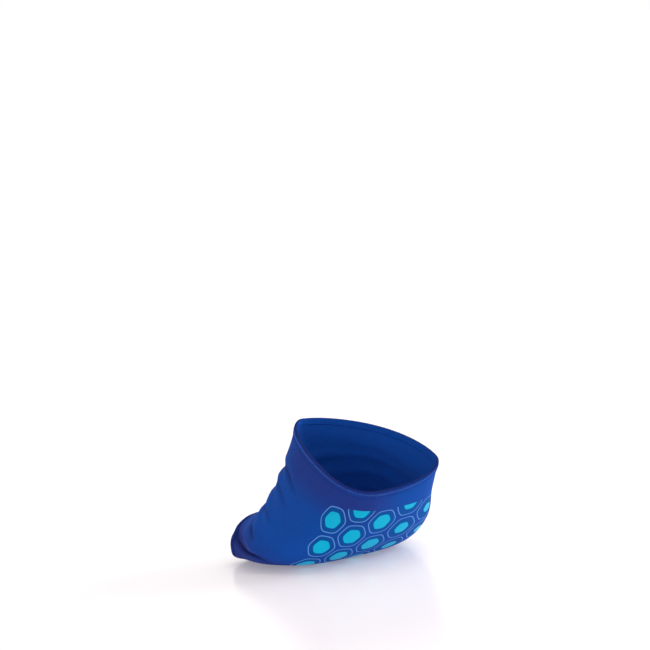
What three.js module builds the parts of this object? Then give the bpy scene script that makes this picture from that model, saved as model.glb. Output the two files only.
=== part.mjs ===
// Plantar gel sleeve: a stretch-knit tube with a gel cushion in its sole, in the bent form it has when worn.
// Millimetres, +Z up. The front opening faces -X, the rear opening faces up and towards +X,
// the arch side of the sleeve is at -Y and its outer side at +Y.
import * as THREE from 'three';

// Driving dimensions
const WALL = 1.3; // the knit
const CLEARANCE = 0.3; // between separate pieces
const REAR_HEM = { width: 3.4, thickness: 2.0 }; // turned and stitched
const FRONT_HEM = { width: 3.0, thickness: 1.7 };
const PAD = { thickness: 4.2, rim: 0.9, clearance: 0.5, fromFront: 60, halfLength: 26, halfTurn: 0.11 };
const HOLLOW_CENTRE = new THREE.Vector3(-10, 32, 26); // becomes the origin

// Roundness of outlines: 1 is elliptic, less is squarer, more is slacker
const INSTEP_ROUND = 1.1;
const HEM_ROUND = 0.6;
const PAD_ROUND = 0.75;

// Mesh density
const GIRTH_STEPS = 60;
const LENGTH_STEPS = 38;
const FORM_GIRTH_STEPS = 192; // the fine grid that every piece is measured on
const FORM_LENGTH_STEPS = 96;
const HEM_SIDES = 6;
const PAD_RINGS = 6;
const PAD_SPOKES = 30;

// Cross-sections from the front opening to the rear opening, measured from under the sole's widest part.
// soleX, soleZ and topX, topZ are the middle of the sole and the ridge of the instep, and soleY and ridgeY
// are how far across they lie; archY and outerY are the two sides, and archH and outerH their heights above
// the sole, as shares of the section;
// rise is how far the two sides stand on towards the rear opening past the middle of the sole;
// soleRound is the roundness of the section's lower half.
const SECTIONS = namedRows(
  ['soleX', 'soleZ', 'topX', 'topZ', 'soleY', 'ridgeY',
    'archY', 'outerY', 'archH', 'outerH', 'rise', 'soleRound'],
  [
    [-36, -0.5, -41, 22, 26, 0, -17.5, 71.5, 0.34, 0.4, 0, 0.46], // front opening
    [-26, -0.45, -36.5, 26, 26, 13, -17.5, 74.5, 0.29, 0.39, 0, 0.53], // crease behind the front edge
    [-5, -0.3, -34.5, 34.5, 27, 29, -18.5, 77.5, 0.29, 0.36, 0, 0.62], // widest part
    [11, 1.2, -36, 44.5, 31, 34.5, -12, 77.5, 0.34, 0.34, 0, 0.66], // where the sole lifts
    [23.2, 11, -38, 53, 35, 34.5, -2, 78.8, 0.38, 0.29, 1, 0.72], // swell of the pad
    [29, 25, -39.8, 60.7, 38, 33.8, 9.5, 77.3, 0.405, 0.23, 2, 0.74], // rear end of the print
    [31, 38, -41.5, 68.3, 41, 34.5, 18.5, 80.5, 0.375, 0.2, 3.5, 0.76], // rear opening
  ],
);

// Folds of slack knit: at is the share of the length, and turn the share of the girth from the sole towards
// the arch side; depth is negative for a crease, width and reach are its half extents in mm and in turns,
// and slant is how many mm it leans along the length for each turn.
const FOLDS = namedRows(
  ['at', 'turn', 'depth', 'width', 'reach', 'slant'],
  [
    [0.28, 0.41, -1.05, 2.2, 0.18, 0], // instep, the lowest notch
    [0.4, 0.42, -1.6, 2.6, 0.22, 0],
    [0.53, 0.43, -2.1, 3.0, 0.24, 0],
    [0.68, 0.44, -2.0, 2.8, 0.24, 0], // instep, the highest notch
    [0.18, 0.28, -1.5, 4.2, 0.1, -150], // crease from the front edge down to the sole
    [0.3, 0.27, 0.5, 4.5, 0.1, -150], // the roll behind that crease
  ],
);

// Turns a list of column names and rows of numbers into objects.
function namedRows(columns, rows) {
  return rows.map((row) => Object.fromEntries(columns.map((name, i) => [name, row[i]])));
}

// One value of the section table at a place s from 0 to 1, on a smooth curve through its rows.
function sectionValue(name, s) {
  const last = SECTIONS.length - 1;
  const i = Math.min(Math.floor(s * last), last - 1);
  const row = (k) => SECTIONS[THREE.MathUtils.clamp(k, 0, last)][name];
  const f = s * last - i;
  const slopeStart = (row(i + 1) - row(i - 1)) / 2;
  const slopeEnd = (row(i + 2) - row(i)) / 2;
  const rest = 2 * (row(i) - row(i + 1)) + slopeStart + slopeEnd;
  return ((rest * f + (row(i + 1) - row(i)) - rest - slopeStart) * f + slopeStart) * f + row(i);
}

// The section at s, as its table values and its two directions in the XZ plane.
function sectionAt(s) {
  const section = Object.fromEntries(Object.keys(SECTIONS[0]).map((name) => [name, sectionValue(name, s)]));
  const up = new THREE.Vector3(section.topX - section.soleX, 0, section.topZ - section.soleZ);
  section.height = up.length();
  section.up = up.normalize();
  section.onward = new THREE.Vector3(up.z, 0, -up.x);
  return section;
}

// A point of a section: turn 0 is the middle of the sole, 0.25 the arch side, 0.5 the instep,
// and 0.75 the outer side.
function sectionPoint(section, turn) {
  const quarter = Math.floor(turn * 4) % 4;
  const lower = quarter === 0 || quarter === 3;
  const onArchSide = quarter < 2;
  const power = lower ? section.soleRound : INSTEP_ROUND;
  const middleY = lower ? section.soleY : section.ridgeY;
  const sideY = onArchSide ? section.archY : section.outerY;
  const sideH = (onArchSide ? section.archH : section.outerH) * section.height;
  const fromMiddle = quarter % 2 ? 1 - ((turn * 4) % 1) : (turn * 4) % 1;
  const angle = (Math.PI / 2) * evenAngle(fromMiddle, power);
  const y = middleY + (sideY - middleY) * Math.sin(angle) ** power;
  const share = Math.cos(angle) ** power;
  const h = lower ? sideH * (1 - share) : sideH + (section.height - sideH) * share;
  const halfWidth = (section.outerY - section.archY) / 2;
  const onward = section.rise * ((y - section.soleY) / halfWidth) ** 2;
  return new THREE.Vector3(section.soleX, y, section.soleZ)
    .addScaledVector(section.up, h)
    .addScaledVector(section.onward, onward);
}

// A sine or cosine raised to a roundness, with its sign kept.
function rounded(value, power) {
  return Math.sign(value) * Math.abs(value) ** power;
}

// Spreads steps evenly along a squarish quarter, whose angle alone would bunch them;
// the corner stays half way.
function evenAngle(share, power) {
  const near = share ** (1 / power);
  const far = (1 - share) ** (1 / power);
  return near / (near + far);
}

// Moves the points of a line so that they lie at equal steps.
function evenly(points) {
  const lengths = [0];
  for (let i = 1; i < points.length; i++) lengths.push(lengths[i - 1] + points[i].distanceTo(points[i - 1]));
  const last = points.length - 1;
  let k = 1;
  return points.map((_, i) => {
    const wanted = (lengths[last] * i) / last;
    while (k < last && lengths[k] < wanted) k++;
    return points[k - 1].clone().lerp(points[k], (wanted - lengths[k - 1]) / (lengths[k] - lengths[k - 1]));
  });
}

// The outer surface as a fine grid of columns: step i of the girth, then step j of the length.
function smoothForm() {
  const sections = Array.from({ length: FORM_LENGTH_STEPS + 1 }, (_, j) => sectionAt(j / FORM_LENGTH_STEPS));
  return Array.from({ length: FORM_GIRTH_STEPS }, (_, i) => {
    const turn = i / FORM_GIRTH_STEPS;
    return evenly(sections.map((section) => sectionPoint(section, turn)));
  });
}

// Outward normals of a grid of columns that closes round the girth.
function gridNormals(columns) {
  const count = columns.length;
  return columns.map((column, i) => column.map((_, j) => {
    const roundGirth = columns[(i + 1) % count][j].clone().sub(columns[(i + count - 1) % count][j]);
    const alongLength = column[Math.min(j + 1, column.length - 1)].clone().sub(column[Math.max(j - 1, 0)]);
    return alongLength.cross(roundGirth).normalize();
  }));
}

// How far the folds push the surface out at a share of the length and a turn of the girth.
function foldDepth(at, turn, length) {
  let depth = 0;
  for (const fold of FOLDS) {
    let away = turn - fold.turn;
    away -= Math.round(away);
    if (Math.abs(away) >= fold.reach) continue;
    const along = ((at - fold.at) * length - fold.slant * away) / fold.width;
    const fade = Math.cos((Math.PI / 2) * (away / fold.reach)) ** 2;
    depth += fold.depth * fade * Math.exp(-along * along);
  }
  return depth;
}

function lineLength(points) {
  return points.slice(1).reduce((sum, point, k) => sum + point.distanceTo(points[k]), 0);
}

// The finished outer surface, its normals and the length of each column.
function makeForm() {
  const columns = smoothForm();
  const smoothNormals = gridNormals(columns);
  const lengths = columns.map(lineLength);
  columns.forEach((column, i) => column.forEach((point, j) => {
    const depth = foldDepth(j / FORM_LENGTH_STEPS, i / FORM_GIRTH_STEPS, lengths[i]);
    point.addScaledVector(smoothNormals[i][j], depth);
  }));
  return { columns, normals: gridNormals(columns), lengths };
}

const form = makeForm();

// The length of the sleeve at a turn of the girth.
function lengthAt(turn) {
  const girth = THREE.MathUtils.euclideanModulo(turn, 1) * FORM_GIRTH_STEPS;
  const i = Math.floor(girth);
  return THREE.MathUtils.lerp(form.lengths[i], form.lengths[(i + 1) % FORM_GIRTH_STEPS], girth - i);
}

// A point at a turn of the girth, a distance from the front edge and a depth inside the outer surface.
function place(turn, distance, depth) {
  const girth = THREE.MathUtils.euclideanModulo(turn, 1) * FORM_GIRTH_STEPS;
  const i = Math.floor(girth);
  const along = THREE.MathUtils.clamp(distance / lengthAt(turn), 0, 1) * FORM_LENGTH_STEPS;
  const j = Math.min(Math.floor(along), FORM_LENGTH_STEPS - 1);
  const blend = (grid) => {
    const near = grid[i][j].clone().lerp(grid[i][j + 1], along - j);
    const next = grid[(i + 1) % FORM_GIRTH_STEPS];
    return near.lerp(next[j].clone().lerp(next[j + 1], along - j), girth - i);
  };
  return blend(form.columns).addScaledVector(blend(form.normals).normalize(), -depth);
}

// A closed mesh from rows of points: each row goes round once, or is one point where the surface closes over,
// and joined rows also go from the last one back to the first.
function solidFromRows(name, rows, joined, material) {
  const positions = rows.flat().flatMap((point) => point.toArray());
  const indices = [];
  const offsets = [0];
  for (const row of rows) offsets.push(offsets[offsets.length - 1] + row.length);
  const bands = joined ? rows.length : rows.length - 1;
  for (let r = 0; r < bands; r++) {
    const a = rows[r];
    const b = rows[(r + 1) % rows.length];
    const start = offsets[r];
    const next = offsets[(r + 1) % rows.length];
    const steps = Math.max(a.length, b.length);
    for (let i = 0; i < steps; i++) {
      const k = (i + 1) % steps;
      if (b.length > 1) indices.push(start + (i % a.length), next + i, next + k);
      if (a.length > 1) indices.push(start + i, next + (k % b.length), start + k);
    }
  }
  const geometry = new THREE.BufferGeometry();
  geometry.setAttribute('position', new THREE.Float32BufferAttribute(positions, 3));
  geometry.setIndex(indices);
  geometry.computeVertexNormals();
  const mesh = new THREE.Mesh(geometry, material);
  mesh.name = name;
  return mesh;
}

// The turns of the girth at which every ring of a piece has its points.
function girthTurns() {
  return Array.from({ length: GIRTH_STEPS }, (_, i) => i / GIRTH_STEPS);
}

// The hollow knit tube, between the two hems: its outer rings and, back again, its inner rings.
function sleeveBody() {
  const ring = (share, depth) => girthTurns().map((turn) => {
    const start = FRONT_HEM.width + CLEARANCE;
    const end = lengthAt(turn) - REAR_HEM.width - CLEARANCE;
    return place(turn, THREE.MathUtils.lerp(start, end, share), depth);
  });
  const rows = [];
  for (let j = 0; j <= LENGTH_STEPS; j++) rows.push(ring(j / LENGTH_STEPS, 0));
  for (let j = LENGTH_STEPS; j >= 0; j--) rows.push(ring(j / LENGTH_STEPS, WALL));
  const knit = new THREE.MeshStandardMaterial({ color: 0x16429a, roughness: 0.75, metalness: 0 });
  return solidFromRows('sleeve_body', rows, true, knit);
}

// A turned edge: a band with a rounded section that goes round an opening, centred on the knit.
function hem(name, size, distanceAt, material) {
  const rows = [];
  for (let k = 0; k < HEM_SIDES; k++) {
    const angle = (-Math.PI * 2 * (k + 0.5)) / HEM_SIDES;
    const along = (size.width / 2) * (1 + rounded(Math.cos(angle), HEM_ROUND));
    const depth = WALL / 2 - (size.thickness / 2) * rounded(Math.sin(angle), HEM_ROUND);
    rows.push(girthTurns().map((turn) => place(turn, distanceAt(turn, along), depth)));
  }
  return solidFromRows(name, rows, true, material);
}

function rearHem() {
  const turnedKnit = new THREE.MeshStandardMaterial({ color: 0x1b4aa8, roughness: 0.8, metalness: 0 });
  return hem('rear_hem', REAR_HEM, (turn, along) => lengthAt(turn) - REAR_HEM.width + along, turnedKnit);
}

function frontHem() {
  const turnedKnit = new THREE.MeshStandardMaterial({ color: 0x173f8f, roughness: 0.8, metalness: 0 });
  return hem('front_hem', FRONT_HEM, (turn, along) => along, turnedKnit);
}

// The gel cushion: a rounded oval pad against the inside of the sole wall, thickest in its middle.
function gelPad() {
  const ring = (share, thickness) => {
    const row = [];
    for (let k = 0; k < PAD_SPOKES; k++) {
      const angle = (Math.PI * 2 * k) / PAD_SPOKES;
      const turn = PAD.halfTurn * share * rounded(Math.sin(angle), PAD_ROUND);
      const along = PAD.fromFront + PAD.halfLength * share * rounded(Math.cos(angle), PAD_ROUND);
      row.push(place(turn, along, WALL + PAD.clearance + thickness));
    }
    return share > 0 ? row : row.slice(0, 1);
  };
  const rows = [];
  for (let r = 0; r <= PAD_RINGS; r++) rows.push(ring(r / PAD_RINGS, 0));
  for (let r = PAD_RINGS; r >= 0; r--) {
    const share = r / PAD_RINGS;
    rows.push(ring(share, PAD.rim + (PAD.thickness - PAD.rim) * (1 - share ** 2)));
  }
  const gel = new THREE.MeshStandardMaterial({ color: 0xbfd8ea, roughness: 0.35, metalness: 0 });
  return solidFromRows('gel_pad', rows, false, gel);
}

const sleeve = new THREE.Group();
sleeve.position.copy(HOLLOW_CENTRE).negate();
sleeve.add(sleeveBody(), rearHem(), frontHem(), gelPad());

export default sleeve;
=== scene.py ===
# Plantar gel sleeve: a royal-blue stretch-knit tube with turned hems, a honeycomb print on its sole
# and a gel cushion inside, in the bent form that it has when worn.
import math

import bpy
import numpy as np
from mathutils import Matrix, Vector


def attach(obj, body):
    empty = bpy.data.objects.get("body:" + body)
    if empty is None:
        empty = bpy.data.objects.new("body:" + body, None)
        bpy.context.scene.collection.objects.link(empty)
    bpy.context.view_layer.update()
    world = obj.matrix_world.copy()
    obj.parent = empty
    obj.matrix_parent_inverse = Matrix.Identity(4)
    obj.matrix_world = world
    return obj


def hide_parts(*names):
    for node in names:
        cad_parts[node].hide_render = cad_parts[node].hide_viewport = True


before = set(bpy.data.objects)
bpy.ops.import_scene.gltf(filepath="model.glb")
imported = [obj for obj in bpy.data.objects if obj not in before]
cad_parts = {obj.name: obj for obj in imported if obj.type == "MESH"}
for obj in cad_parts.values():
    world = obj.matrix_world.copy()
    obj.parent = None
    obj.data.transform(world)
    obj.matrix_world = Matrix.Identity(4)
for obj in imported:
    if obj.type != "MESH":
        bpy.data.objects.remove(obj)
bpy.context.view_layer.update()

# Sizes in millimetres; meshes are made in metres
MM = 0.001
WALL = 1.3  # the knit
REAR_HEM = {"width": 3.4, "thickness": 2.0}
FRONT_HEM = {"width": 3.0, "thickness": 1.7}
HEM_LIP = 0.45  # how far a turned edge laps over the knit, on both of its faces
LAP_GAP = 0.03  # between the lap and the knit
EDGE_GAP = 0.15  # between the knit's own edge and the fold that holds it
PAD = {
    "thickness": 4.2, "rim": 0.9, "clearance": 0.5,
    "from_front": 60, "half_length": 26, "half_turn": 0.11,
}
HOLLOW_CENTRE = np.array([-10.0, 32.0, 26.0])  # becomes the origin

# Roundness of outlines: 1 is elliptic, less is squarer, more is slacker
INSTEP_ROUND = 1.1
PAD_ROUND = 0.75

# Mesh density
GIRTH_STEPS = 320
LENGTH_STEPS = 140
FORM_LENGTH_STEPS = 240

# Cross-sections from the front opening to the rear opening, measured from under the sole's widest part.
# sole_x, sole_z and top_x, top_z are the middle of the sole and the ridge of the instep, and sole_y and
# ridge_y are how far across they lie; arch_y and outer_y are the two sides, and arch_h and outer_h their
# heights above the sole, as shares of the section; rise is how far the two sides stand on towards the rear
# opening past the middle of the sole; sole_round is the roundness of the section's lower half.
SECTION_COLUMNS = (
    "sole_x", "sole_z", "top_x", "top_z", "sole_y", "ridge_y",
    "arch_y", "outer_y", "arch_h", "outer_h", "rise", "sole_round",
)
SECTIONS = np.array([
    [-36, -0.5, -41, 22, 26, 0, -17.5, 71.5, 0.34, 0.4, 0, 0.46],  # front opening
    [-26, -0.45, -36.5, 26, 26, 13, -17.5, 74.5, 0.29, 0.39, 0, 0.53],  # crease behind the front edge
    [-5, -0.3, -34.5, 34.5, 27, 29, -18.5, 77.5, 0.29, 0.36, 0, 0.62],  # widest part
    [11, 1.2, -36, 44.5, 31, 34.5, -12, 77.5, 0.34, 0.34, 0, 0.66],  # where the sole lifts
    [23.2, 11, -38, 53, 35, 34.5, -2, 78.8, 0.38, 0.29, 1, 0.72],  # swell of the pad
    [29, 25, -39.8, 60.7, 38, 33.8, 9.5, 77.3, 0.405, 0.23, 2, 0.74],  # rear end of the print
    [31, 38, -41.5, 68.3, 41, 34.5, 18.5, 80.5, 0.375, 0.2, 3.5, 0.76],  # rear opening
])

# Folds of slack knit: at is the share of the length, and turn the share of the girth from the sole towards
# the arch side; depth is negative for a crease, width and reach are its half extents in mm and in turns,
# and slant is how many mm it leans along the length for each turn.
FOLD_COLUMNS = ("at", "turn", "depth", "width", "reach", "slant")
FOLDS = [dict(zip(FOLD_COLUMNS, row)) for row in [
    [0.28, 0.41, -1.05, 2.2, 0.18, 0],  # instep, the lowest notch
    [0.4, 0.42, -1.6, 2.6, 0.22, 0],
    [0.53, 0.43, -2.1, 3.0, 0.24, 0],
    [0.68, 0.44, -2.0, 2.8, 0.24, 0],  # instep, the highest notch
    [0.18, 0.28, -1.5, 4.2, 0.1, -150],  # crease from the front edge down to the sole
    [0.3, 0.27, 0.5, 4.5, 0.1, -150],  # the roll behind that crease
]]

# Sharper creases and rolls drawn as paths of (at, turn). depth and width are in mm, depth is negative for a
# roll that stands out, and side is the height of the ridge that the cloth makes along both sides.
CREASES = [
    {"depth": 1.7, "width": 1.7, "side": 0.15, "path": [  # from the front edge down to the sole
        (0.02, 0.38), (0.062, 0.31), (0.105, 0.284), (0.172, 0.257),
        (0.245, 0.232), (0.308, 0.205), (0.345, 0.175), (0.375, 0.12)]},
    {"depth": -0.75, "width": 1.9, "side": 0, "path": [  # the roll that hangs over it
        (0.05, 0.39), (0.114, 0.337), (0.224, 0.296), (0.276, 0.273),
        (0.306, 0.257), (0.333, 0.232), (0.356, 0.196), (0.385, 0.14)]},
    {"depth": 0.4, "width": 0.8, "side": 0.12, "path": [  # the fine line beside it
        (0.127, 0.26), (0.183, 0.236), (0.224, 0.218), (0.27, 0.198)]},
    {"depth": 0.85, "width": 0.9, "side": 0.25, "path": [  # the short slit behind the roll
        (0.252, 0.334), (0.274, 0.315), (0.298, 0.297), (0.329, 0.27)]},
    {"depth": -0.3, "width": 1.0, "side": 0, "path": [  # streaks of the cloth gathered at the front
        (0.05, 0.41), (0.138, 0.353), (0.214, 0.313), (0.25, 0.293)]},
    {"depth": -0.3, "width": 1.1, "side": 0, "path": [
        (0.107, 0.42), (0.18, 0.38), (0.25, 0.34)]},
    {"depth": 0.7, "width": 1.4, "side": 0.2, "path": [  # below the notches of the instep
        (0.67, 0.43), (0.744, 0.355), (0.762, 0.315), (0.752, 0.26)]},
    {"depth": 0.6, "width": 1.3, "side": 0.2, "path": [
        (0.54, 0.41), (0.609, 0.345), (0.634, 0.308), (0.645, 0.26)]},
    {"depth": 0.6, "width": 1.3, "side": 0.2, "path": [
        (0.33, 0.4), (0.385, 0.35), (0.456, 0.313), (0.5, 0.27)]},
    {"depth": -0.35, "width": 1.5, "side": 0, "path": [  # up to the rear edge
        (0.95, 0.41), (0.831, 0.347), (0.811, 0.312), (0.79, 0.27)]},
    {"depth": 0.6, "width": 1.7, "side": 0.25, "path": [  # the same folds run out on the outer side
        (0.29, 0.53), (0.33, 0.6), (0.38, 0.67), (0.42, 0.74)]},
    {"depth": 0.55, "width": 1.6, "side": 0.25, "path": [
        (0.47, 0.54), (0.52, 0.61), (0.54, 0.67), (0.545, 0.73)]},
    {"depth": 0.45, "width": 1.6, "side": 0.2, "path": [
        (0.65, 0.55), (0.69, 0.61), (0.69, 0.67), (0.68, 0.72)]},
    {"depth": 0.8, "width": 1.7, "side": 0.2, "path": [  # gathered beside the front edge
        (0.03, 0.62), (0.09, 0.69), (0.17, 0.745), (0.25, 0.8)]},
    {"depth": -0.4, "width": 1.6, "side": 0, "path": [
        (0.06, 0.58), (0.14, 0.66), (0.23, 0.725)]},
]
MEAN_GIRTH = 235  # of the whole sleeve, for distances between paths and points
PATH_STEPS = 48
END_FADE = 0.7  # less keeps a crease's depth for longer towards its ends
SIDE_RIDGE = 2.3  # from the middle of a crease to the ridges along its sides, in its widths


# The form of the sleeve

def section_values(share):
    """Every column of the section table at shares 0 to 1 of the length, on smooth curves through its rows."""
    last = len(SECTIONS) - 1
    start = np.minimum((share * last).astype(int), last - 1)
    part = (share * last - start)[:, None]

    def row(step):
        return SECTIONS[np.clip(start + step, 0, last)]

    slope_start = (row(1) - row(-1)) / 2
    slope_end = (row(2) - row(0)) / 2
    rest = 2 * (row(0) - row(1)) + slope_start + slope_end
    values = ((rest * part + row(1) - row(0) - rest - slope_start) * part + slope_start) * part + row(0)
    return dict(zip(SECTION_COLUMNS, values.T[:, None, :]))


def even_angle(share, power):
    """Spreads steps evenly along a squarish quarter, whose angle alone would bunch them."""
    near = share ** (1 / power)
    far = (1 - share) ** (1 / power)
    return near / (near + far)


def smooth_surface(shares, turns):
    """Points of the outer surface: turn 0 is the middle of the sole, 0.25 the arch side, 0.5 the instep."""
    v = section_values(shares)
    turns = (turns % 1)[:, None]
    quarter = np.floor(turns * 4).astype(int) % 4
    lower = (quarter == 0) | (quarter == 3)
    on_arch_side = quarter < 2
    power = np.where(lower, v["sole_round"], INSTEP_ROUND)
    middle_y = np.where(lower, v["sole_y"], v["ridge_y"])
    side_y = np.where(on_arch_side, v["arch_y"], v["outer_y"])
    height = np.hypot(v["top_x"] - v["sole_x"], v["top_z"] - v["sole_z"])
    side_h = np.where(on_arch_side, v["arch_h"], v["outer_h"]) * height
    part = (turns * 4) % 1
    angle = math.pi / 2 * even_angle(np.where(quarter % 2 == 1, 1 - part, part), power)
    y = middle_y + (side_y - middle_y) * np.sin(angle) ** power
    share = np.maximum(np.cos(angle), 0) ** power
    h = np.where(lower, side_h * (1 - share), side_h + (height - side_h) * share)
    onward = v["rise"] * ((y - v["sole_y"]) / ((v["outer_y"] - v["arch_y"]) / 2)) ** 2
    up_x = (v["top_x"] - v["sole_x"]) / height
    up_z = (v["top_z"] - v["sole_z"]) / height
    x = v["sole_x"] + up_x * h + up_z * onward
    z = v["sole_z"] + up_z * h - up_x * onward
    return np.stack([x, y, z], axis=2)


def line_lengths(lines):
    """Distances along each line of points from its first point."""
    steps = np.linalg.norm(np.diff(lines, axis=1), axis=2)
    return np.concatenate([np.zeros((len(lines), 1)), np.cumsum(steps, axis=1)], axis=1)


def evenly_spaced(lines):
    """The same lines with their points at equal steps."""
    count = lines.shape[1]
    even = np.empty_like(lines)
    for line, along, out in zip(lines, line_lengths(lines), even):
        wanted = np.linspace(0, along[-1], count)
        for axis in range(3):
            out[:, axis] = np.interp(wanted, along, line[:, axis])
    return even


def grid_normals(columns):
    """Outward normals of a grid of columns that closes round the girth."""
    round_girth = np.roll(columns, -1, axis=0) - np.roll(columns, 1, axis=0)
    along_length = np.gradient(columns, axis=1)
    normals = np.cross(along_length, round_girth)
    return normals / np.linalg.norm(normals, axis=2, keepdims=True)


def fold_depth(at, turn, length):
    """How far the folds push the surface out."""
    depth = np.zeros(np.broadcast(at, turn).shape)
    for fold in FOLDS:
        away = turn - fold["turn"]
        away = away - np.round(away)
        along = ((at - fold["at"]) * length - fold["slant"] * away) / fold["width"]
        fade = np.where(np.abs(away) < fold["reach"], np.cos(math.pi / 2 * away / fold["reach"]) ** 2, 0)
        depth = depth + fold["depth"] * fade * np.exp(-along * along)
    return depth


def smooth_path(points):
    """Points along a smooth curve through a few."""
    points = np.array(points)
    slopes = np.gradient(points, axis=0)
    wanted = np.linspace(0, len(points) - 1, PATH_STEPS)
    i = np.minimum(wanted.astype(int), len(points) - 2)
    part = (wanted - i)[:, None]
    left = 1 - part
    return (
        points[i] * (1 + 2 * part) * left ** 2 + points[i + 1] * (3 - 2 * part) * part ** 2
        + slopes[i] * part * left ** 2 - slopes[i + 1] * left * part ** 2
    )


def crease_depth(at, turn, length):
    """How far the sharper creases push the surface out, and how much painted shade each point gets from lying
    in one.
    """
    depth = np.zeros(np.broadcast(at, turn).shape)
    shade = np.zeros(depth.shape)
    for crease in CREASES:
        path = smooth_path(crease["path"])
        nearest = np.full(depth.shape, np.inf)
        place = np.zeros(depth.shape)
        for share, (path_at, path_turn) in zip(np.linspace(0, 1, len(path)), path):
            away = turn - path_turn
            away = (away - np.round(away)) * MEAN_GIRTH
            distance = np.hypot((at - path_at) * length, away)
            closer = distance < nearest
            nearest = np.where(closer, distance, nearest)
            place = np.where(closer, share, place)
        fade = np.sin(math.pi * place) ** END_FADE
        valley = fade * np.exp(-(nearest / crease["width"]) ** 2)
        sides = fade * np.exp(-((nearest / crease["width"] - SIDE_RIDGE) ** 2))
        depth = depth + crease["side"] * sides - crease["depth"] * valley
        shade = np.maximum(shade, valley * min(max(crease["depth"], 0), 1) ** 2)
    return depth, shade


class Form:
    """The finished outer surface, on which every piece is measured."""

    def __init__(self):
        turns = np.arange(GIRTH_STEPS) / GIRTH_STEPS
        shares = np.linspace(0, 1, FORM_LENGTH_STEPS + 1)
        columns = evenly_spaced(smooth_surface(shares, turns))
        self.lengths = line_lengths(columns)[:, -1]
        grid = shares[None, :], turns[:, None], self.lengths[:, None]
        depth, shade = crease_depth(*grid)
        depth = depth + fold_depth(*grid)
        self.shade = shade[:, :, None]
        self.columns = columns + grid_normals(columns) * depth[:, :, None]
        self.normals = grid_normals(self.columns)

    def blend(self, grid, turn, share=None):
        """A value of the grid at turns of the girth, and at shares of the length where it has them."""
        girth = (turn % 1) * GIRTH_STEPS
        i = np.floor(girth).astype(int) % GIRTH_STEPS
        across = girth - np.floor(girth)
        following = (i + 1) % GIRTH_STEPS
        if share is None:
            return grid[i] * (1 - across) + grid[following] * across
        along = np.clip(share, 0, 1) * FORM_LENGTH_STEPS
        j = np.minimum(np.floor(along).astype(int), FORM_LENGTH_STEPS - 1)
        onward = (along - j)[..., None]
        across = across[..., None]
        near = grid[i, j] * (1 - onward) + grid[i, j + 1] * onward
        far = grid[following, j] * (1 - onward) + grid[following, j + 1] * onward
        return near * (1 - across) + far * across

    def length_at(self, turn):
        """The length of the sleeve from its front edge to its rear edge, at turns of the girth."""
        return self.blend(self.lengths, turn)

    def place(self, turn, distance, depth):
        """Points at turns of the girth, distances from the front edge and depths inside the surface."""
        turn, distance, depth = np.broadcast_arrays(turn, distance, depth)
        share = distance / self.length_at(turn)
        normal = self.blend(self.normals, turn, share)
        normal = normal / np.linalg.norm(normal, axis=-1, keepdims=True)
        return self.blend(self.columns, turn, share) - normal * depth[..., None]


form = Form()
TURNS = np.arange(GIRTH_STEPS) / GIRTH_STEPS - 0.5  # from the instep ridge, round the outer side and back


# Making meshes

def to_metres(points):
    """Points in millimetres as points in metres, measured from the middle of the hollow."""
    return (points - HOLLOW_CENTRE) * MM


def mesh_piece(name, points, faces, cloth=None):
    """A smooth mesh object from points in millimetres; cloth holds the faces' corners on the flat cloth."""
    mesh = bpy.data.meshes.new(name)
    mesh.from_pydata(to_metres(points).tolist(), [], faces)
    if cloth is not None:
        mesh.uv_layers.new(name="cloth").data.foreach_set("uv", cloth.astype(np.float32).ravel())
    mesh.shade_smooth()
    piece = bpy.data.objects.new(name, mesh)
    bpy.context.scene.collection.objects.link(piece)
    return piece


def ring_mesh(name, rows, across, down):
    """A closed band from rows of rings: the rows go once round the wall's section, and the rings round the
    girth. across and down are the rings' places on the flat cloth, with one more row and one more column."""
    count, steps = rows.shape[:2]
    r, i = np.meshgrid(np.arange(count), np.arange(steps), indexing="ij")
    corners = [(r, i), (r + 1, i), (r + 1, i + 1), (r, i + 1)]
    quads = np.stack([(a % count) * steps + b % steps for a, b in corners], axis=2)
    cloth = np.stack([np.stack([across[a, b], down[a, b]], axis=-1) for a, b in corners], axis=2)
    return mesh_piece(name, rows.reshape(-1, 3), quads.reshape(-1, 4).tolist(), cloth.reshape(-1, 2))


def girth_distances(ring_rows):
    """Distances round each ring from the middle of the sole, with the closing point added at the end."""
    closed = np.concatenate([ring_rows, ring_rows[:, :1]], axis=1)
    along = line_lengths(closed)
    return along - along[:, GIRTH_STEPS // 2:GIRTH_STEPS // 2 + 1]


def with_first(values, axis):
    """Values with their first row or column repeated at the end, where a loop closes."""
    return np.concatenate([values, np.take(values, [0], axis=axis)], axis=axis)


# The knit tube

def sleeve_knit():
    """The tube between its hems: the outer wall from front to rear, then the inner wall back again.
    On the flat cloth, the inner wall lies past the rear edge, at negative distances from it."""
    lengths = form.length_at(TURNS)
    start = FRONT_HEM["width"] + EDGE_GAP
    shares = np.linspace(0, 1, LENGTH_STEPS + 1)[:, None]
    distances = start + (lengths - REAR_HEM["width"] - EDGE_GAP - start) * shares
    outer = form.place(TURNS, distances, 0.0)
    inner = form.place(TURNS, distances[::-1], WALL)
    across = np.concatenate([girth_distances(outer), girth_distances(outer)[::-1]])
    down = np.concatenate([lengths - distances, (distances - lengths)[::-1]])
    rows = np.concatenate([outer, inner])
    tube = ring_mesh("sleeve_knit", rows, with_first(across, 0), with_first(with_first(down, 1), 0))
    # painted shade in the creases, on the outer wall only, held in the mesh's crease attribute
    shade = form.blend(form.shade, np.broadcast_to(TURNS, distances.shape), distances / lengths)
    shade = np.concatenate([shade, 0 * shade])
    crease_shade = tube.data.attributes.new("crease", "FLOAT", "POINT")
    crease_shade.data.foreach_set("value", shade.astype(np.float32).ravel())
    return tube


# The turned hems

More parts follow.
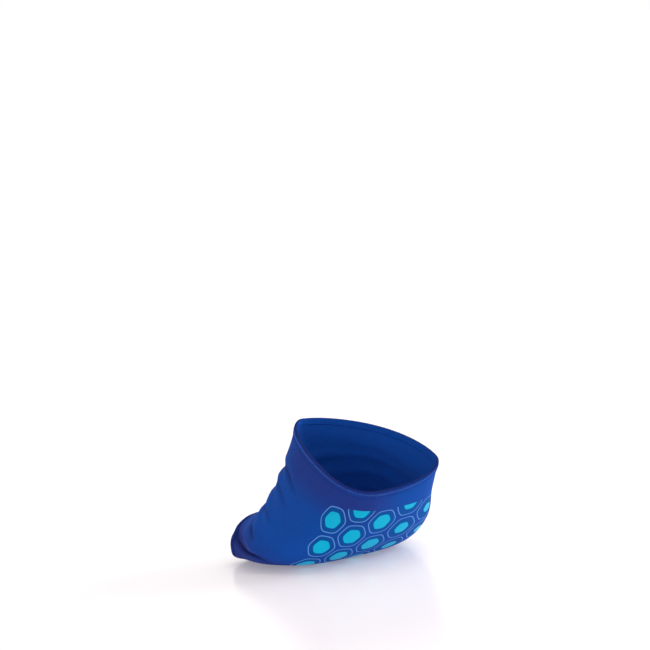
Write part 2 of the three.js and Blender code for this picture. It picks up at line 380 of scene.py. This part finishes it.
HEM_ROUND_STEPS = 10
HEM_FACE_STEPS = 12
STITCH_LINE = 2.05  # from the rear edge
STITCH_PITCH = 1.7  # of two stitches, which make one zigzag
STITCH_REACH = 0.42  # half the width of the zigzag
GROOVE = {"depth": 0.18, "width": 0.4}
PUCKER = 0.07  # how far the stitches pull the hem in and out


def hem_face(size, distance, groove):
    """How far a hem's face stands proud of the middle of the wall, at distances from its edge."""
    half = size["thickness"] / 2
    lap = WALL / 2 + LAP_GAP
    rise = np.clip((size["width"] + HEM_LIP - distance) / HEM_LIP, 0, 1)
    proud = lap + (half - lap) * np.sqrt(1 - (1 - rise) ** 2)
    return proud - groove * np.exp(-((distance - STITCH_LINE) / GROOVE["width"]) ** 2)


def hem_outline(size, groove):
    """A hem's section as distances from its edge and depths: out along its outer face from the lap, over the
    fold, back along its inner face, and round the slot that holds the knit's edge."""
    half = size["thickness"] / 2
    face = np.linspace(size["width"] + HEM_LIP, half, HEM_FACE_STEPS)
    swing = np.linspace(0, math.pi, HEM_ROUND_STEPS + 2)[1:-1]
    slot_end = size["width"] - EDGE_GAP
    lap = WALL / 2 + LAP_GAP
    distance = np.concatenate([face, half * (1 - np.sin(swing)), face[::-1], [slot_end, slot_end]])
    proud = np.concatenate([
        hem_face(size, face, groove),
        half * np.cos(swing),
        -hem_face(size, face[::-1], 0),
        [-lap, lap],
    ])
    return distance, WALL / 2 - proud


def turned_hem(name, size, at_rear, groove):
    """A band of folded knit that holds the tube's edge in its slot."""
    distance, depth = hem_outline(size, groove)
    lengths = form.length_at(TURNS)
    rows = []
    for away, deep in zip(distance, depth):
        outside = deep < WALL / 2 and groove > 0
        pucker = PUCKER * np.cos(2 * math.pi * hem_stitch_turns(TURNS)) if outside else 0.0
        rows.append(form.place(TURNS, lengths - away if at_rear else away + 0 * TURNS, deep - pucker))
    rows = np.array(rows)
    profile = np.stack([distance, depth, 0 * depth], axis=1)[None]
    along = line_lengths(with_first(profile, 1))[0]
    down = np.repeat(along[:, None], GIRTH_STEPS + 1, axis=1)
    across = with_first(girth_distances(rows), 0)
    if not at_rear:
        rows, across, down = rows[::-1], across[::-1], down[::-1]
    return ring_mesh(name, rows, across, down)


def stitch_line_girth():
    """The turns of the stitch line, and the distances round it."""
    turns = np.linspace(-0.5, 0.5, 4 * GIRTH_STEPS + 1)
    line = form.place(turns, form.length_at(turns) - STITCH_LINE, 0.0)
    return turns, line_lengths(line[None])[0]


def hem_stitch_turns(turn):
    """How many zigzags lie between the instep ridge and a turn, with a whole number in the round."""
    turns, along = stitch_line_girth()
    count = round(along[-1] / STITCH_PITCH)
    return np.interp(turn, turns, along) / along[-1] * count


# The hem's stitches

THREAD = 0.3  # thickness
THREAD_SIDES = 8
STITCH_RINGS = 7
STITCH_RISE = 0.42  # of a stitch's middle above the cloth, in thicknesses
STITCH_DIVE = 3.2  # of its ends, in thicknesses for the square of the distance from its middle
STITCH_TAPER = 0.9  # how much slimmer it gets, for the same square
RING_REACH = 0.01  # points this near to a ring belong to it


def one_stitch():
    """A single stitch along X, one unit long: a thread that rises from the cloth, lies over it and dives."""
    bpy.ops.object.select_all(action="DESELECT")
    bpy.ops.mesh.primitive_cylinder_add(
        vertices=THREAD_SIDES, radius=THREAD / 2, depth=1, end_fill_type="NGON",
        rotation=(0, math.pi / 2, 0))
    stitch = bpy.context.object
    bpy.ops.object.transform_apply(location=False, rotation=True, scale=True)
    bpy.ops.object.mode_set(mode="EDIT")
    bpy.ops.mesh.select_mode(type="EDGE")
    select_edges(stitch, lambda a, b: abs(a.x - b.x) > 0.5)  # those along its length
    bpy.ops.mesh.subdivide(number_cuts=STITCH_RINGS - 2)
    bpy.ops.mesh.select_mode(type="VERT")
    for ring in np.linspace(-0.5, 0.5, STITCH_RINGS):
        select_points(stitch, lambda p: abs(p.x - ring) < RING_REACH)
        height = THREAD * (STITCH_RISE - STITCH_DIVE * ring ** 2)
        slim = 1 - STITCH_TAPER * ring ** 2
        bpy.ops.transform.resize(value=(1, slim, slim))
        bpy.ops.transform.translate(value=(0, 0, height))
    bpy.ops.object.mode_set(mode="OBJECT")
    points = np.array([v.co for v in stitch.data.vertices])
    faces = [list(f.vertices) for f in stitch.data.polygons]
    bpy.data.objects.remove(stitch)
    return points, faces


def select_edges(piece, wanted):
    """Selects the edges, in edit mode, whose two ends are wanted."""
    bpy.ops.mesh.select_all(action="DESELECT")
    bpy.ops.object.mode_set(mode="OBJECT")
    points = piece.data.vertices
    for edge in piece.data.edges:
        a, b = edge.vertices
        edge.select = bool(wanted(points[a].co, points[b].co))
    bpy.ops.object.mode_set(mode="EDIT")


def select_points(piece, wanted):
    """Selects the points, in edit mode, that are wanted."""
    bpy.ops.mesh.select_all(action="DESELECT")
    bpy.ops.object.mode_set(mode="OBJECT")
    for point in piece.data.vertices:
        point.select = bool(wanted(point.co))
    bpy.ops.object.mode_set(mode="EDIT")


def hem_stitches():
    """The zigzag that holds the rear hem: copies of one stitch, leaning one way and then the other."""
    points, faces = one_stitch()
    turns, along = stitch_line_girth()
    count = 2 * round(along[-1] / STITCH_PITCH)
    ends = np.interp(np.linspace(0, along[-1], count + 1), along, turns)
    side = STITCH_REACH * np.where(np.arange(count + 1) % 2 == 0, 1, -1)
    away = STITCH_LINE + side
    depth = WALL / 2 - hem_face(REAR_HEM, away, GROOVE["depth"])
    knots = form.place(ends, form.length_at(ends) - away, depth)
    middle_turn = (ends[1:] + ends[:-1]) / 2
    lift = form.place(middle_turn, form.length_at(middle_turn) - STITCH_LINE, -1.0)
    seat = form.place(middle_turn, form.length_at(middle_turn) - STITCH_LINE, 0.0)
    up = lift - seat
    all_points = []
    all_faces = []
    for start, end, out in zip(knots[:-1], knots[1:], up):
        lengthwise = end - start
        sideways = np.cross(out, lengthwise)
        sideways = sideways / np.linalg.norm(sideways)
        out = np.cross(lengthwise, sideways)
        out = out / np.linalg.norm(out)
        first = len(all_points) * len(points)
        all_points.append((start + end) / 2 + points @ np.array([lengthwise, sideways, out]))
        all_faces.extend([[first + k for k in face] for face in faces])
    return mesh_piece("rear_hem_stitches", np.concatenate(all_points), all_faces)


# The gel cushion

CUSHION_SEGMENTS = 96
CUSHION_RINGS = 64
EDGE_ROLL = 2.5  # how quickly the edge rolls up to the cushion's full height


def rounded(value, power):
    """A sine or cosine raised to a roundness, with its sign kept."""
    return np.sign(value) * np.abs(value) ** power


def gel_cushion():
    """A rounded oval cushion that lies against the inside of the sole, thickest in its middle."""
    bpy.ops.object.select_all(action="DESELECT")
    bpy.ops.mesh.primitive_uv_sphere_add(segments=CUSHION_SEGMENTS, ring_count=CUSHION_RINGS, radius=1)
    cushion = bpy.context.object
    cushion.name = cushion.data.name = "gel_cushion"
    ball = np.array([v.co for v in cushion.data.vertices])
    share = np.clip(np.hypot(ball[:, 0], ball[:, 1]), 0, 1)
    angle = np.arctan2(ball[:, 1], ball[:, 0])
    turn = PAD["half_turn"] * share * rounded(np.sin(angle), PAD_ROUND)
    along = PAD["from_front"] + PAD["half_length"] * share * rounded(np.cos(angle), PAD_ROUND)
    crown = PAD["rim"] + (PAD["thickness"] - PAD["rim"]) * (1 - share ** 2)
    roll = np.minimum(1, np.sqrt(np.maximum(1 - share ** 2, 0)) * EDGE_ROLL)
    middle = PAD["rim"] / 2
    inner = middle + (crown - middle) * roll
    outer = middle * (1 - roll)
    height = np.where(ball[:, 2] > 0, inner, outer)
    points = form.place(turn, along, WALL + PAD["clearance"] + height)
    cushion.data.vertices.foreach_set("co", to_metres(points).astype(np.float32).ravel())
    cushion.data.update()
    cushion.data.shade_smooth()
    return cushion


# Finishes

class Wire:
    """A socket's value: arithmetic on it adds Math nodes."""

    def __init__(self, finish, socket):
        self.finish = finish
        self.socket = socket

    def math(self, operation, *values):
        return self.finish.node("ShaderNodeMath", {"operation": operation}, dict(enumerate(values)))

    def __add__(self, other):
        return self.math("ADD", self, other)

    def __radd__(self, other):
        return self.math("ADD", other, self)

    def __sub__(self, other):
        return self.math("SUBTRACT", self, other)

    def __rsub__(self, other):
        return self.math("SUBTRACT", other, self)

    def __mul__(self, other):
        return self.math("MULTIPLY", self, other)

    def __rmul__(self, other):
        return self.math("MULTIPLY", other, self)

    def __truediv__(self, other):
        return self.math("DIVIDE", self, other)

    def __rtruediv__(self, other):
        return self.math("DIVIDE", other, self)

    def __pow__(self, other):
        return self.math("POWER", self, other)

    def __abs__(self):
        return self.math("ABSOLUTE", self)

    def __lt__(self, other):
        return self.math("LESS_THAN", self, other)

    def __gt__(self, other):
        return self.math("GREATER_THAN", self, other)

    def centred(self, period):
        """The value's place in a repeat, from minus half a period to half a period."""
        return self.math("WRAP", self, period / 2, -period / 2)

    def wave(self):
        """From 0 to 1 and back, once for each whole number."""
        return self.math("COSINE", self * (2 * math.pi)) * 0.5 + 0.5

    def whole(self):
        return self.math("ROUND", self)

    def least(self, other):
        return self.math("MINIMUM", self, other)

    def most(self, other):
        return self.math("MAXIMUM", self, other)

    def step(self, low, high):
        """0 up to low, 1 from high on, and smooth between them."""
        return self.finish.node(
            "ShaderNodeMapRange", {"interpolation_type": "SMOOTHSTEP"},
            {"Value": self, "From Min": low, "From Max": high})


class Finish:
    """A material with its Principled shader, whose nodes are made by one method."""

    def __init__(self, name, **constants):
        self.material = bpy.data.materials.new(name)
        self.material.use_nodes = True
        self.tree = self.material.node_tree
        self.shader = next(n for n in self.tree.nodes if n.type == "BSDF_PRINCIPLED")
        for socket, value in constants.items():
            self.shader.inputs[socket.replace("_", " ")].default_value = value

    def node(self, kind, settings=None, inputs=None, output=0):
        """Adds a node: its settings are set first, then its sockets are linked or given their values."""
        made = self.tree.nodes.new(kind)
        for name, value in (settings or {}).items():
            setattr(made, name, value)
        for name, value in (inputs or {}).items():
            if isinstance(value, Wire):
                self.tree.links.new(value.socket, made.inputs[name])
            else:
                made.inputs[name].default_value = value
        return Wire(self, made.outputs[output])

    def mix(self, share, first, second):
        """A blend of two colours."""
        made = self.tree.nodes.new("ShaderNodeMix")
        made.data_type = "RGBA"
        sockets = {"Factor": share, "A": first, "B": second}
        for socket in made.inputs:
            value = sockets.get(socket.name)
            if value is None or socket.type != ("VALUE" if socket.name == "Factor" else "RGBA"):
                continue
            if isinstance(value, Wire):
                self.tree.links.new(value.socket, socket)
            else:
                socket.default_value = value
        return Wire(self, next(s for s in made.outputs if s.type == "RGBA"))

    def cloth(self):
        """The two coordinates of the flat cloth, in millimetres."""
        flat = {"Vector": self.node("ShaderNodeUVMap", {"uv_map": "cloth"})}
        return [self.node("ShaderNodeSeparateXYZ", None, flat, axis) for axis in (0, 1)]

    def attribute(self, name):
        """A value that the mesh holds at its points."""
        return self.node("ShaderNodeAttribute", {"attribute_name": name}, None, "Fac")

    def noise(self, scale, detail):
        """Cloudy values on the piece's own coordinates; scale is in blotches to the metre."""
        place = self.node("ShaderNodeTexCoord", None, None, "Object")
        return self.node("ShaderNodeTexNoise", None, {"Vector": place, "Scale": scale, "Detail": detail}, 0)

    def set(self, socket, wire):
        """Links a value to one of the shader's sockets."""
        self.tree.links.new(wire.socket, self.shader.inputs[socket])

    def bump(self, height, distance, strength):
        """Roughens the shader's normal by a height; distance is in metres."""
        self.set("Normal", self.node(
            "ShaderNodeBump", None, {"Height": height, "Distance": distance, "Strength": strength}))


def linear(red, green, blue):
    """A screen colour from 0 to 255 as the shader's linear colour."""
    def channel(value):
        value = value / 255
        return value / 12.92 if value <= 0.04045 else ((value + 0.055) / 1.055) ** 2.4
    return (channel(red), channel(green), channel(blue), 1.0)


ROYAL_BLUE = linear(17, 93, 196)
SHADE_AND_MOTTLE_BLUE = linear(46, 66, 154)  # painted shade: a duller purple-blue where shade falls, also used for the knit's random darker blotches
# painted shade: for the creases, towards the front edge and on the hems
PAINTED_SHADE_NAVY = linear(18, 18, 78)
CELL_BLUE = linear(4, 86, 168)
PALE_LINE = linear(110, 168, 240)
TURQUOISE = linear(2, 197, 234)
# painted shade between the knit's loops, also used for its random darker fibres
GAP_BLUE = linear(8, 42, 118)
THREAD_BLUE = linear(66, 112, 208)
THREAD_SHADE = linear(38, 72, 166)
SHEEN_BLUE = linear(190, 196, 255)
CLEAR_GEL = linear(178, 208, 228)
CLOUDY_GEL = linear(204, 226, 238)

# The knit: its loops are measured in millimetres on the flat cloth, its noises in blotches to the metre
KNIT_SURFACE = {
    "Specular_IOR_Level": 0.1, "Sheen_Weight": 0.035, "Sheen_Roughness": 0.45, "Sheen_Tint": SHEEN_BLUE,
}
HEM_SURFACE = {**KNIT_SURFACE, "Specular_IOR_Level": 0.05, "Sheen_Weight": 0.01}
WALE = 0.84  # width of a column of knit loops
COURSE = 0.66  # height of a row of them
LOOP_SLANT = 1.2  # how far the V shapes run down, in rows for each column
LOOP_SHARE = 0.55  # of the face's height, and the strands have the rest
BACK_WAVE = 0.4  # how far the rows of the back wander, in rows
LOOP_BUMP = {"distance": 0.00017, "strength": 0.8}
GAP_SHARE = 0.5  # of the gap colour, painted shade between the loops
FIBRES = {"scale": 1500.0, "edges": (0.35, 0.75), "share": 0.2}
CLOUDS = {"scale": 70.0, "edges": (0.3, 0.8), "share": 0.2}
HEM_CLOUDS = {"scale": 140.0, "edges": (0.25, 0.75), "share": 0.25}
CLOUD_DETAIL = 3.0
FIBRE_DETAIL = 2.0
HEM_ROUGHNESS = 0.86
LOOP_GLOSS = 0.1  # how much smoother the tops of a hem's loops are

# The stitch thread and the gel; a roughness is the least one and what the noise adds
TWO_TONES = (0.3, 0.7)  # the noise's values between which one colour passes into the other
THREAD_FIBRES = 2600.0
THREAD_ROUGHNESS = (0.42, 0.25)
THREAD_BUMP = {"distance": 0.00006, "strength": 0.7}
GEL_CLOUDS = 160.0
GEL_GRAIN = 1500.0
GEL_ROUGHNESS = (0.2, 0.18)
GEL_BUMP = {"distance": 0.00008, "strength": 0.4}


def knit_height(across, down):
    """The loops of a jersey: columns of small nested V shapes on its face, and rows of bumps on its back,
    which is where the flat cloth's distances from the rear edge are negative."""
    aside = abs((across / WALE).centred(1))
    strands = 1 - abs(aside - 0.25) * 4  # highest halfway between a column's middle and its sides
    face = (down / COURSE + aside * LOOP_SLANT).wave() * LOOP_SHARE + strands * (1 - LOOP_SHARE)
    back = (down / COURSE + (across / WALE).wave() * BACK_WAVE).wave()
    return face + (back - face) * (down < 0)


def blotches(knit, kind, detail):
    """Soft blotches over the knit, from 0 to the share that their kind has."""
    return knit.noise(kind["scale"], detail).step(*kind["edges"]) * kind["share"]


def with_gaps(knit, colour, loops):
    """A colour of the knit, with painted shade in the gaps between its loops, and darker at random among its
    fibres.
    """
    gaps = (1 - loops) * GAP_SHARE + blotches(knit, FIBRES, FIBRE_DETAIL)
    return knit.mix(gaps, colour, GAP_BLUE)


# The print: columns of hexagons along the sole, every second column half a step on. The knit is stretched
# more and more towards the outer side, so column c lies at
# PRINT_MIDDLE + COLUMN_PITCH * c - COLUMN_GROWTH * c * c
# round the girth. Its rows bow away from the rear edge on both sides of BOW_MIDDLE, and draw closer
# to the first one towards the outer side. The cells' sizes are those before that.
PRINT_MIDDLE = 0.1
COLUMN_PITCH = 15.5
COLUMN_GROWTH = 0.8
COLUMN_LEAN = 0.16  # towards the outer side, for each millimetre nearer to the rear edge than LEAN_START
LEAN_START = 28.0
OUTER_LIMIT = -25.0  # past it, the columns have the outer pitch, and the rows draw no closer
OUTER_PITCH = 18.0
ROW_BOW = 0.0029
BOW_MIDDLE = 3.0
ROW_CLOSENESS = 1.05  # in the middle of the sole
ROW_CLOSING = 0.004  # for each millimetre towards the outer side
CELL_ROWS = 15.0  # between neighbours in a column
FIRST_ROW = 17.75  # the middle column's first cell, from the rear edge
PRINT_START = 10.5  # the print's straight ends, from the rear edge
PRINT_END = 55.35
LAST_COLUMN = 2  # on both sides of the middle one
CELL_OUTLINE = 6.45  # from a cell's middle to the middle of its outline
FILL_SHARE = 0.63  # of the outline
FILL_LOSS = 0.12  # for each column towards the outer side
LINE_WIDTH = 0.4
LINE_THINNING = 0.6  # how much thinner the lines get where the columns are stretched
CORNER_POWER = 8.0  # more makes the cells' corners sharper
EDGE_SOFT = 0.12
INSIDE_INK = 0.85  # inside the outlines
LINE_INK = 0.75  # in the gaps between the loops, whose tops are covered
FILL_INK = 0.84
INK_GLOSS = 0.5  # how much smoother the ink is than the knit
INK_DEPTH = 0.5  # how far the ink fills the gaps
HEX_SLANT = math.cos(math.pi / 6)


def print_place(across, down):
    """The print's column at a place on the flat cloth, how far from the rear edge the place lies among its
    rows, and how many millimetres a column takes there."""
    upright = across - (down - LEAN_START).least(0) * COLUMN_LEAN
    limited = upright.most(OUTER_LIMIT)
    root = (COLUMN_PITCH ** 2 - 4 * COLUMN_GROWTH * (limited - PRINT_MIDDLE)).most(0) ** 0.5
    column = (COLUMN_PITCH - root) / (2 * COLUMN_GROWTH) + (upright - OUTER_LIMIT).least(0) / OUTER_PITCH
    aside = across - BOW_MIDDLE
    from_first = (down - FIRST_ROW - aside * aside * ROW_BOW) * (ROW_CLOSENESS - limited * ROW_CLOSING)
    return column, from_first + FIRST_ROW, root


def nearest_cell(column, along):
    """The distance from the middle of the nearest cell, measured so that hexagons are its contours,
    and the share of that cell that its fill takes."""
    def from_lattice(first_column, first_row):
        middle = ((column - first_column) / 2).whole() * 2 + first_column
        x = (column - middle) * (CELL_ROWS * HEX_SLANT)
        y = (along - (FIRST_ROW + first_row * CELL_ROWS)).centred(CELL_ROWS)
        slant = x * HEX_SLANT
        sides = [abs(y), abs(slant + y * 0.5), abs(slant - y * 0.5)]
        total = sides[0] ** CORNER_POWER + sides[1] ** CORNER_POWER + sides[2] ** CORNER_POWER
        beyond = abs(middle) > LAST_COLUMN + 0.5
        return total ** (1 / CORNER_POWER) + beyond * CELL_ROWS, middle

    even, even_middle = from_lattice(0, 0)
    odd, odd_middle = from_lattice(1, 0.5)
    nearer = even < odd
    middle = nearer * even_middle + (1 - nearer) * odd_middle
    return even.least(odd), FILL_SHARE + middle.least(0) * FILL_LOSS


# Where painted shade lies, as distances across and down the flat cloth over which it begins and ends
PAINTED_SHADE_START = (-14, 10)
PAINTED_SHADE_STOP = (58, 94)
PAINTED_SHADE_REAR = (8, 24)
PAINTED_SHADE_FRONT = (44, 72)
HEM_PAINTED_SHADE_START = (-30, 10)
FRONT_PAINTED_SHADE_WEIGHT = 1.3
PAINTED_SHADE_SHARE = 0.8  # of the painted shade colour
HEM_PAINTED_SHADE_SHARE = 0.6
FRONT_SHADE = (62, 80)
FRONT_SHADE_SHARE = 0.25
KNIT_ROUGHNESS = 0.82


def painted_shade_mask(across, down):
    """How much painted shade lies on the knit: along the rear edge of the arch side, and before the front
    crease.
    """
    beside_edge = across.step(*PAINTED_SHADE_START) * (1 - across.step(*PAINTED_SHADE_STOP)) * (1 - down.step(*PAINTED_SHADE_REAR))
    return (beside_edge + down.step(*PAINTED_SHADE_FRONT) * FRONT_PAINTED_SHADE_WEIGHT).least(FRONT_PAINTED_SHADE_WEIGHT)


def printed_knit():
    """Royal-blue jersey with the honeycomb print on its sole."""
    knit = Finish("printed_knit", **KNIT_SURFACE)
    across, down = knit.cloth()
    loops = knit_height(across, down)
    # painted shade under the rear hem and towards the front, with random blotches of duller tone
    dim_share = (painted_shade_mask(across, down) * PAINTED_SHADE_SHARE + blotches(knit, CLOUDS, CLOUD_DETAIL)).least(1)
    ground = knit.mix(dim_share, ROYAL_BLUE, SHADE_AND_MOTTLE_BLUE)
    # painted shade towards the front edge
    ground = knit.mix(down.step(*FRONT_SHADE) * FRONT_SHADE_SHARE, ground, PAINTED_SHADE_NAVY)
    ground = with_gaps(knit, ground, loops)
    # painted shade in the creases
    ground = knit.mix(knit.attribute("crease"), ground, PAINTED_SHADE_NAVY)
    column, along, pitch = print_place(across, down)
    reach, fill_share = nearest_cell(column, along)
    printed = (along > PRINT_START) * (along < PRINT_END)
    half_line = LINE_WIDTH / 2 * (COLUMN_PITCH / pitch.most(1)) ** LINE_THINNING
    inside = (1 - reach.step(CELL_OUTLINE - EDGE_SOFT, CELL_OUTLINE + EDGE_SOFT)) * printed
    line = (1 - abs(reach - CELL_OUTLINE).step(half_line - EDGE_SOFT, half_line + EDGE_SOFT)) * printed
    fill = (1 - (reach - fill_share * CELL_OUTLINE).step(-EDGE_SOFT, EDGE_SOFT)) * printed
    colour = knit.mix(inside * INSIDE_INK, ground, CELL_BLUE)
    colour = knit.mix(line * (LINE_INK + (1 - LINE_INK) * loops), colour, PALE_LINE)
    colour = knit.mix(fill * (FILL_INK + (1 - FILL_INK) * loops), colour, TURQUOISE)
    knit.set("Base Color", colour)
    ink = line.most(fill)
    knit.set("Roughness", KNIT_ROUGHNESS - ink * INK_GLOSS)
    knit.bump(loops * (1 - ink * INK_DEPTH) + ink * INK_DEPTH, **LOOP_BUMP)
    return knit.material


FOLD_PLACE = 4.3  # where the fold lies across a hem, from its lap
FOLD_EDGES = (0.4, 1.7)
FOLD_SHADE = 0.75
REAR_HEM_SHADE = 0.0  # of the painted shade colour, all over a hem
FRONT_HEM_SHADE = 0.5


def hem_knit(name, shade):
    """The same jersey, turned and pressed, with painted shade along the fold and by a share all over."""
    knit = Finish(name, **HEM_SURFACE)
    across, down = knit.cloth()
    loops = knit_height(across, down)
    # painted shade over part of the hem's girth, with random blotches of duller tone
    dim_share = across.step(*HEM_PAINTED_SHADE_START) * (1 - across.step(*PAINTED_SHADE_STOP)) * HEM_PAINTED_SHADE_SHARE
    colour = knit.mix(dim_share + blotches(knit, HEM_CLOUDS, CLOUD_DETAIL), ROYAL_BLUE, SHADE_AND_MOTTLE_BLUE)
    colour = with_gaps(knit, colour, loops)
    fold = 1 - abs(down - FOLD_PLACE).step(*FOLD_EDGES)
    knit.set("Base Color", knit.mix(shade + fold * (FOLD_SHADE - shade), colour, PAINTED_SHADE_NAVY))
    knit.set("Roughness", HEM_ROUGHNESS - loops * LOOP_GLOSS)
    knit.bump(loops, **LOOP_BUMP)
    return knit.material


def stitch_thread():
    """Twisted polyester thread, paler than the knit."""
    thread = Finish("stitch_thread", Sheen_Weight=0.03)
    fibres = thread.noise(THREAD_FIBRES, FIBRE_DETAIL)
    thread.set("Base Color", thread.mix(fibres.step(*TWO_TONES), THREAD_SHADE, THREAD_BLUE))
    thread.set("Roughness", THREAD_ROUGHNESS[0] + fibres * THREAD_ROUGHNESS[1])
    thread.bump(fibres, **THREAD_BUMP)
    return thread.material


def soft_gel():
    """Cloudy gel with a satin surface."""
    gel = Finish("soft_gel", IOR=1.42, Subsurface_Weight=0.35, Subsurface_Scale=0.004)
    clouds = gel.noise(GEL_CLOUDS, CLOUD_DETAIL)
    grain = gel.noise(GEL_GRAIN, FIBRE_DETAIL)
    gel.set("Base Color", gel.mix(clouds.step(*TWO_TONES), CLEAR_GEL, CLOUDY_GEL))
    gel.set("Roughness", GEL_ROUGHNESS[0] + grain * GEL_ROUGHNESS[1])
    gel.bump(grain, **GEL_BUMP)
    return gel.material


# The stage

FLOOR_HEIGHT = -0.0267  # just under the sole
FLOOR_SIZE = 12
FLOOR_COLOUR = (0.9, 0.84, 0.86, 1)
CAMERA_AZIMUTH = math.radians(60)
CAMERA_ELEVATION = math.radians(8.6)
CAMERA_ROLL = math.radians(5)
CAMERA_DISTANCE = 1.3  # to the floor point under the sole's widest part
FRAME_PIXELS = 650
FOCAL_PIXELS = 2470
FLOOR_POINT_PIXEL = (295.0, 566.4)  # where that point lies in the frame
SENSOR_MM = 36.0
CLIP_NEAR = 0.05
CLIP_FAR = 50
ROOM_LIGHT = 0.4  # what the white room gives to surfaces
FAR_FLOOR = (0.9, 2.6)  # the distances over which the floor runs out into the white of the room
NEAR_GLOW = (0.24, 0.225, 0.222, 1)
FAR_GLOW = (0.6, 0.6, 0.6, 1)
WHITE = (1, 1, 1, 1)
SOFT_BOXES = [  # name, place, width and height in metres, and watts
    ("top_rear_box", (-0.5, 1.0, 1.5), (1.8, 1.8), 20),
    ("right_box", (0.35, 1.48, 0.43), (0.6, 1.0), 16.5),
    ("left_fill", (0.7, -1.4, 0.35), (1.2, 1.0), 6),
]


def make_camera():
    """The photograph's view: a long lens, low, behind and to the arch side, and a little turned."""
    a, e, r = CAMERA_AZIMUTH, CAMERA_ELEVATION, CAMERA_ROLL
    back = Vector((math.sin(a) * math.cos(e), -math.cos(a) * math.cos(e), math.sin(e)))
    level = Vector((math.cos(a), math.sin(a), 0))
    upright = back.cross(level)
    right = math.cos(r) * level - math.sin(r) * upright
    up = math.sin(r) * level + math.cos(r) * upright
    aside = (FLOOR_POINT_PIXEL[0] - FRAME_PIXELS / 2) / FOCAL_PIXELS * CAMERA_DISTANCE
    below = (FLOOR_POINT_PIXEL[1] - FRAME_PIXELS / 2) / FOCAL_PIXELS * CAMERA_DISTANCE
    floor_point = Vector((-HOLLOW_CENTRE * MM).tolist())
    lens = bpy.data.cameras.new("camera")
    lens.sensor_width = SENSOR_MM
    lens.lens = FOCAL_PIXELS / FRAME_PIXELS * SENSOR_MM
    lens.clip_start = CLIP_NEAR
    lens.clip_end = CLIP_FAR
    camera = bpy.data.objects.new("camera", lens)
    bpy.context.scene.collection.objects.link(camera)
    turned = Matrix((right, up, back)).transposed().to_4x4()
    camera.matrix_world = Matrix.Translation(
        floor_point - right * aside + up * below + back * CAMERA_DISTANCE) @ turned
    bpy.context.scene.camera = camera


def make_floor():
    """A white floor that mirrors softly and glows more and more towards the white of the room."""
    bpy.ops.object.select_all(action="DESELECT")
    bpy.ops.mesh.primitive_plane_add(size=FLOOR_SIZE, location=(0, 0, FLOOR_HEIGHT))
    floor = bpy.context.object
    floor.name = "floor"
    bpy.ops.object.transform_apply(location=True, rotation=False, scale=False)
    finish = Finish("white_floor", Base_Color=FLOOR_COLOUR, Roughness=0.2, IOR=1.33, Emission_Strength=1)
    place = finish.node("ShaderNodeTexCoord", None, None, "Object")
    distance = finish.node("ShaderNodeVectorMath", {"operation": "LENGTH"}, {0: place}, "Value")
    finish.set("Emission Color", finish.mix(distance.step(*FAR_FLOOR), NEAR_GLOW, FAR_GLOW))
    floor.data.materials.append(finish.material)


def soft_box(name, place, size, watts):
    """A rectangular studio light that faces the sleeve."""
    lamp = bpy.data.lights.new(name, "AREA")
    lamp.shape = "RECTANGLE"
    lamp.size, lamp.size_y = size
    lamp.energy = watts
    light = bpy.data.objects.new(name, lamp)
    bpy.context.scene.collection.objects.link(light)
    light.location = place
    light.rotation_euler = (-Vector(place)).to_track_quat("-Z", "Y").to_euler()


def make_lights():
    """A white room, which lights surfaces less than the camera sees of it, and its studio lights."""
    world = bpy.data.worlds.new("studio")
    world.use_nodes = True
    tree = world.node_tree
    seen = tree.nodes["Background"]
    seen.inputs["Color"].default_value = WHITE
    dim = tree.nodes.new("ShaderNodeBackground")
    dim.inputs["Color"].default_value = WHITE
    dim.inputs["Strength"].default_value = ROOM_LIGHT
    choice = tree.nodes.new("ShaderNodeMixShader")
    tree.links.new(tree.nodes.new("ShaderNodeLightPath").outputs["Is Diffuse Ray"], choice.inputs[0])
    tree.links.new(seen.outputs[0], choice.inputs[1])
    tree.links.new(dim.outputs[0], choice.inputs[2])
    tree.links.new(choice.outputs[0], tree.nodes["World Output"].inputs["Surface"])
    bpy.context.scene.world = world
    bpy.context.scene.view_settings.view_transform = "Standard"
    for box in SOFT_BOXES:
        soft_box(*box)


make_camera()

body = sleeve_knit()
rear_band = turned_hem("rear_hem_band", REAR_HEM, True, GROOVE["depth"])
front_band = turned_hem("front_hem_band", FRONT_HEM, False, 0.0)
stitches = hem_stitches()
cushion = gel_cushion()

body.data.materials.append(printed_knit())
rear_band.data.materials.append(hem_knit("rear_hem_knit", REAR_HEM_SHADE))
front_band.data.materials.append(hem_knit("front_hem_knit", FRONT_HEM_SHADE))
stitches.data.materials.append(stitch_thread())
cushion.data.materials.append(soft_gel())

make_floor()
make_lights()

for piece, node, slot in (
    (body, "sleeve_body", "knit"),
    (rear_band, "rear_hem", "hem"),
    (front_band, "front_hem", "hem"),
    (stitches, None, "hem"),
    (cushion, "gel_pad", "gel"),
):
    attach(piece, "root")
    if node:
        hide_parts(node)
